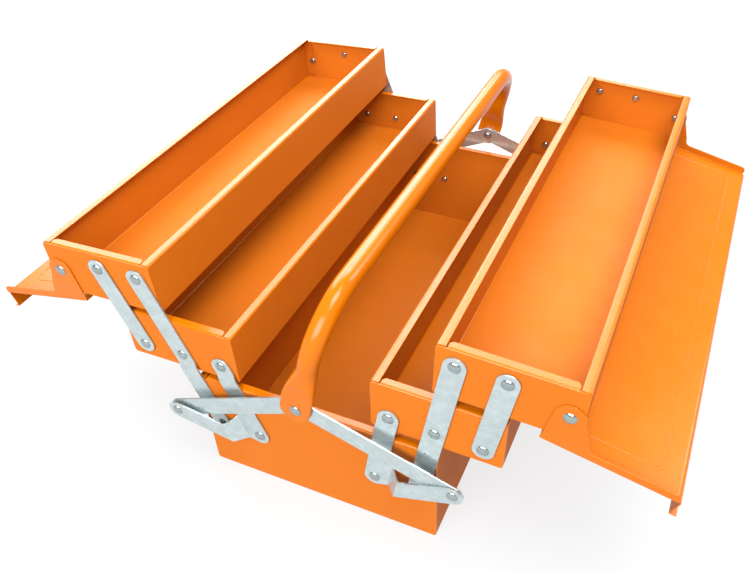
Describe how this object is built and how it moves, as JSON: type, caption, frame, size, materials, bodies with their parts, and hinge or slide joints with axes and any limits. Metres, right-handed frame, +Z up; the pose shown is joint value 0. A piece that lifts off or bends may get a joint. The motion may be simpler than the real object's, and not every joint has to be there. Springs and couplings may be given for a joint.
{
  "type": "cantilever tool box",
  "caption": "Painted sheet-steel tool box with folding trays, hanging lids and a long tube handle on riveted links, shown opened out.",
  "frame": {"origin": "centre of the bottom box's underside", "axes": "+Z up, +Y along the box from the front end to the rear end, +X across it to the side of the less opened trays"},
  "size_m": [0.5437, 0.4346, 0.2118],
  "materials": {
    "orange_paint": "glossy",
    "zinc_steel": "satin, galvanised",
    "rivet_zinc": "satin, galvanised"
  },
  "bodies": {
    "bottom_box": {"bottom_box": "orange_paint", "bottom_box_ends": "orange_paint", "box_rivets": "rivet_zinc"},
    "links_left": {"long_link_left_front": "zinc_steel", "long_link_left_rear": "zinc_steel"},
    "crank_left": {"crank_left_front": "zinc_steel", "crank_left_rear": "zinc_steel", "crank_rivets_left": "rivet_zinc"},
    "middle_tray_left": {"middle_tray_left": "orange_paint", "middle_ends_left": "orange_paint", "middle_rivets_left": "rivet_zinc"},
    "outer_links_left": {"outer_link_left_front": "zinc_steel", "outer_link_left_rear": "zinc_steel"},
    "upper_tray_left": {"upper_tray_left": "orange_paint", "upper_ends_left": "orange_paint", "upper_rivets_left": "rivet_zinc", "lid_rivets_left": "rivet_zinc"},
    "lid_left": {"lid_left": "orange_paint"},
    "strap_left": {"strap_left_front": "zinc_steel", "strap_left_rear": "zinc_steel"},
    "links_right": {"long_link_right_front": "zinc_steel", "long_link_right_rear": "zinc_steel"},
    "crank_right": {"crank_right_front": "zinc_steel", "crank_right_rear": "zinc_steel", "crank_rivets_right": "rivet_zinc"},
    "middle_tray_right": {"middle_tray_right": "orange_paint", "middle_ends_right": "orange_paint", "middle_rivets_right": "rivet_zinc"},
    "outer_links_right": {"outer_link_right_front": "zinc_steel", "outer_link_right_rear": "zinc_steel"},
    "upper_tray_right": {"upper_tray_right": "orange_paint", "upper_ends_right": "orange_paint", "upper_rivets_right": "rivet_zinc", "lid_rivets_right": "rivet_zinc"},
    "lid_right": {"lid_right": "orange_paint"},
    "strap_right": {"strap_right_front": "zinc_steel", "strap_right_rear": "zinc_steel"},
    "handle_pins": {"handle_rivets": "rivet_zinc"},
    "handle": {"handle": "orange_paint"}
  },
  "joints": [
    {"name": "fold_left", "type": "hinge", "parent": "bottom_box", "child": "links_left", "pos_m": [-0.085, 0, 0.0522], "axis": [0, 1, 0], "range_deg": [0, 49.45]},
    {"name": "crank_turn_left", "type": "hinge", "parent": "bottom_box", "child": "crank_left", "pos_m": [-0.0502, 0, 0.0522], "axis": [0, 1, 0], "range_deg": [0, 49.5]},
    {"name": "middle_tray_turn_left", "type": "hinge", "parent": "links_left", "child": "middle_tray_left", "pos_m": [-0.10979, 0, 0.11921], "axis": [0, 1, 0], "range_deg": [-48.2, 0]},
    {"name": "outer_link_turn_left", "type": "hinge", "parent": "middle_tray_left", "child": "outer_links_left", "pos_m": [-0.14458, 0, 0.11842], "axis": [0, 1, 0], "range_deg": [0, 48.2]},
    {"name": "upper_tray_turn_left", "type": "hinge", "parent": "links_left", "child": "upper_tray_left", "pos_m": [-0.13458, 0, 0.18622], "axis": [0, 1, 0], "range_deg": [-46.7, 0]},
    {"name": "lid_hinge_left", "type": "hinge", "parent": "upper_tray_left", "child": "lid_left", "pos_m": [-0.20916, 0, 0.17176], "axis": [0, 1, 0], "range_deg": [0, 190.05]},
    {"name": "strap_turn_left", "type": "hinge", "parent": "crank_left", "child": "strap_left", "pos_m": [-0.119, 0, 0.06396], "axis": [0, 1, 0], "range_deg": [-72.46, 0]},
    {"name": "fold_right", "type": "hinge", "parent": "bottom_box", "child": "links_right", "pos_m": [0.085, 0, 0.0522], "axis": [0, -1, 0], "range_deg": [0, 39.6]},
    {"name": "crank_turn_right", "type": "hinge", "parent": "bottom_box", "child": "crank_right", "pos_m": [0.0502, 0, 0.0522], "axis": [0, -1, 0], "range_deg": [0, 39.6]},
    {"name": "middle_tray_turn_right", "type": "hinge", "parent": "links_right", "child": "middle_tray_right", "pos_m": [0.0979, 0, 0.12247], "axis": [0, -1, 0], "range_deg": [-38.3, 0]},
    {"name": "outer_link_turn_right", "type": "hinge", "parent": "middle_tray_right", "child": "outer_links_right", "pos_m": [0.13269, 0, 0.12169], "axis": [0, -1, 0], "range_deg": [0, 38.3]},
    {"name": "upper_tray_turn_right", "type": "hinge", "parent": "links_right", "child": "upper_tray_right", "pos_m": [0.1108, 0, 0.19275], "axis": [0, -1, 0], "range_deg": [-36.8, 0]},
    {"name": "lid_hinge_right", "type": "hinge", "parent": "upper_tray_right", "child": "lid_right", "pos_m": [0.18538, 0, 0.17829], "axis": [0, -1, 0], "range_deg": [0, 190.05]},
    {"name": "strap_turn_right", "type": "hinge", "parent": "crank_right", "child": "strap_right", "pos_m": [0.11596, 0, 0.07562], "axis": [0, -1, 0], "range_deg": [-68.24, 0]},
    {"name": "handle_rise", "type": "slide", "parent": "bottom_box", "child": "handle_pins", "axis": [0.0425, 0, 0.9991], "range_m": [0, 0.08921]},
    {"name": "handle_swing", "type": "hinge", "parent": "handle_pins", "child": "handle", "pos_m": [-0.00379, 0, 0.11546], "axis": [0, 1, 0], "range_deg": [-60, 30]}
  ],
  "couplings": [
    {"joint": "crank_turn_left", "follows": "fold_left", "ratio": 1},
    {"joint": "middle_tray_turn_left", "follows": "fold_left", "ratio": -0.97371},
    {"joint": "outer_link_turn_left", "follows": "fold_left", "ratio": 0.97371},
    {"joint": "upper_tray_turn_left", "follows": "fold_left", "ratio": -0.94337},
    {"joint": "lid_hinge_left", "follows": "fold_left", "ratio": 3.8424},
    {"joint": "strap_turn_left", "follows": "fold_left", "ratio": -1.4643},
    {"joint": "fold_right", "follows": "fold_left", "ratio": 0.79979},
    {"joint": "crank_turn_right", "follows": "fold_left", "ratio": 0.79979},
    {"joint": "middle_tray_turn_right", "follows": "fold_left", "ratio": -0.7735},
    {"joint": "outer_link_turn_right", "follows": "fold_left", "ratio": 0.7735},
    {"joint": "upper_tray_turn_right", "follows": "fold_left", "ratio": -0.74316},
    {"joint": "lid_hinge_right", "follows": "fold_left", "ratio": 3.8424},
    {"joint": "strap_turn_right", "follows": "fold_left", "ratio": -1.379},
    {"joint": "handle_rise", "follows": "fold_left", "m_per_rad": 0.10325}
  ]
}
